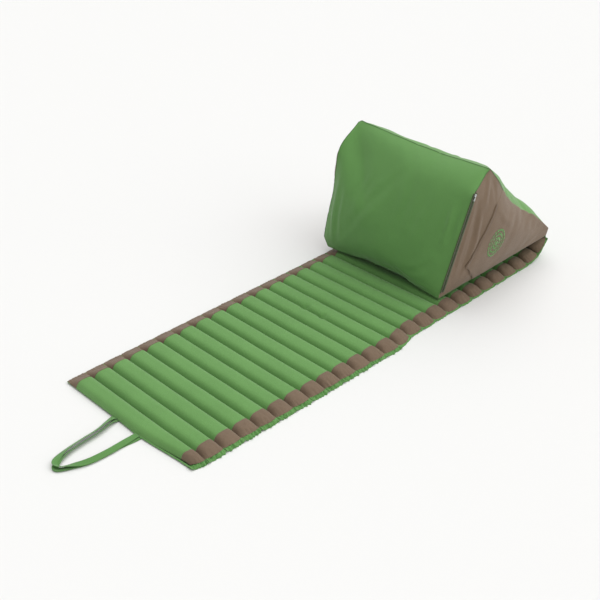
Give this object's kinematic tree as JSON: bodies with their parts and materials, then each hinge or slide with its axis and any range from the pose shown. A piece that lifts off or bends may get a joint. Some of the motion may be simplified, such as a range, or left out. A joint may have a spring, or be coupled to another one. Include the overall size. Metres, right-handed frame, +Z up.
{
  "type": "air mattress",
  "caption": "Roll-up channelled lounge mat with a zipped inflatable wedge backrest and webbing carry handles.",
  "frame": {"origin": "middle of the mat's underside, on the floor", "axes": "+X across the mat to the zip and pocket side, +Y from the foot to the head, +Z up"},
  "size_m": [0.6232, 2.026, 0.4921],
  "materials": {
    "cover_fabric": "matte",
    "end_sleeve_fabric": "matte",
    "ground_fabric": "matte",
    "filling": "matte",
    "side_fabric": "matte",
    "thread": "satin",
    "zip_fabric": "matte",
    "zip_coil": "satin",
    "zip_metal": "satin",
    "bladder_film": "satin",
    "valve_plastic": "gloss",
    "webbing": "matte"
  },
  "bodies": {
    "head_section": {"head_cover": "cover_fabric", "head_end_sleeves": "end_sleeve_fabric", "head_fillings": "filling", "ground_sheet": "ground_fabric", "seam_tacks": "thread"},
    "channel_12": {"cover_12": "cover_fabric", "end_sleeves_12": "end_sleeve_fabric", "filling_12": "filling"},
    "channel_11": {"cover_11": "cover_fabric", "end_sleeves_11": "end_sleeve_fabric", "filling_11": "filling"},
    "channel_10": {"cover_10": "cover_fabric", "end_sleeves_10": "end_sleeve_fabric", "filling_10": "filling"},
    "channel_09": {"cover_09": "cover_fabric", "end_sleeves_09": "end_sleeve_fabric", "filling_09": "filling"},
    "channel_08": {"cover_08": "cover_fabric", "end_sleeves_08": "end_sleeve_fabric", "filling_08": "filling"},
    "channel_07": {"cover_07": "cover_fabric", "end_sleeves_07": "end_sleeve_fabric", "filling_07": "filling"},
    "channel_06": {"cover_06": "cover_fabric", "end_sleeves_06": "end_sleeve_fabric", "filling_06": "filling"},
    "channel_05": {"cover_05": "cover_fabric", "end_sleeves_05": "end_sleeve_fabric", "filling_05": "filling"},
    "channel_04": {"cover_04": "cover_fabric", "end_sleeves_04": "end_sleeve_fabric", "filling_04": "filling"},
    "channel_03": {"cover_03": "cover_fabric", "end_sleeves_03": "end_sleeve_fabric", "filling_03": "filling"},
    "channel_02": {"cover_02": "cover_fabric", "end_sleeves_02": "end_sleeve_fabric", "filling_02": "filling"},
    "channel_01": {"cover_01": "cover_fabric", "end_sleeves_01": "end_sleeve_fabric", "filling_01": "filling"},
    "backrest": {"rear_joining_strip": "ground_fabric", "front_panel": "cover_fabric", "back_panel": "cover_fabric", "bottom_panel": "ground_fabric", "side_panel_left": "side_fabric", "side_panel_right": "side_fabric", "pocket_panel": "side_fabric", "emblem": "thread", "zip_tapes": "zip_fabric", "zip_coil": "zip_coil", "zip_stops": "zip_coil", "bladder": "bladder_film", "bladder_baffles": "bladder_film", "valve_body": "valve_plastic"},
    "zip_slider": {"zip_slider": "zip_metal"},
    "zip_pull": {"zip_pull": "zip_metal"},
    "valve_cap": {"valve_cap": "valve_plastic"},
    "carry_handles": {"carry_handle_upper": "webbing", "carry_handle_lower": "webbing"}
  },
  "joints": [
    {"name": "fold_12", "type": "hinge", "parent": "head_section", "child": "channel_12", "pos_m": [0, -0.069, 0.006], "axis": [-1, 0, 0], "range_deg": [0, 34]},
    {"name": "fold_11", "type": "hinge", "parent": "channel_12", "child": "channel_11", "pos_m": [0, -0.138, 0.006], "axis": [-1, 0, 0], "range_deg": [0, 34]},
    {"name": "fold_10", "type": "hinge", "parent": "channel_11", "child": "channel_10", "pos_m": [0, -0.207, 0.006], "axis": [-1, 0, 0], "range_deg": [0, 34]},
    {"name": "fold_09", "type": "hinge", "parent": "channel_10", "child": "channel_09", "pos_m": [0, -0.276, 0.006], "axis": [-1, 0, 0], "range_deg": [0, 34]},
    {"name": "fold_08", "type": "hinge", "parent": "channel_09", "child": "channel_08", "pos_m": [0, -0.345, 0.006], "axis": [-1, 0, 0], "range_deg": [0, 34]},
    {"name": "fold_07", "type": "hinge", "parent": "channel_08", "child": "channel_07", "pos_m": [0, -0.414, 0.006], "axis": [-1, 0, 0], "range_deg": [0, 34]},
    {"name": "fold_06", "type": "hinge", "parent": "channel_07", "child": "channel_06", "pos_m": [0, -0.483, 0.006], "axis": [-1, 0, 0], "range_deg": [0, 34]},
    {"name": "fold_05", "type": "hinge", "parent": "channel_06", "child": "channel_05", "pos_m": [0, -0.552, 0.006], "axis": [-1, 0, 0], "range_deg": [0, 45]},
    {"name": "fold_04", "type": "hinge", "parent": "channel_05", "child": "channel_04", "pos_m": [0, -0.621, 0.006], "axis": [-1, 0, 0], "range_deg": [0, 45]},
    {"name": "fold_03", "type": "hinge", "parent": "channel_04", "child": "channel_03", "pos_m": [0, -0.69, 0.006], "axis": [-1, 0, 0], "range_deg": [0, 45]},
    {"name": "fold_02", "type": "hinge", "parent": "channel_03", "child": "channel_02", "pos_m": [0, -0.759, 0.006], "axis": [-1, 0, 0], "range_deg": [0, 45]},
    {"name": "fold_01", "type": "hinge", "parent": "channel_02", "child": "channel_01", "pos_m": [0, -0.828, 0.006], "axis": [-1, 0, 0], "range_deg": [0, 45], "deforming": ["carry_handle_upper", "carry_handle_lower"]},
    {"name": "backrest_tilt", "type": "hinge", "parent": "head_section", "child": "backrest", "pos_m": [0, 0.86843, 0.07707], "axis": [-1, 0, 0], "range_deg": [0, 135]},
    {"name": "zip_slide", "type": "slide", "parent": "backrest", "child": "zip_slider", "axis": [-0.1491, -0.1509, -0.9773], "range_m": [0, 0.365]},
    {"name": "zip_pull_swing", "type": "hinge", "parent": "zip_slider", "child": "zip_pull", "pos_m": [0.31133, 0.3576, 0.43525], "axis": [-0.0516, -0.9858, 0.16], "range_deg": [0, 150]},
    {"name": "valve_cap_open", "type": "hinge", "parent": "backrest", "child": "valve_cap", "pos_m": [0.2538, 0.503, 0.1715], "axis": [0, -1, 0], "range_deg": [0, 110]},
    {"name": "handle_swing", "type": "hinge", "parent": "channel_01", "child": "carry_handles", "pos_m": [0, -0.897, 0.0058], "axis": [-1, 0, 0], "range_deg": [0, 110]}
  ]
}
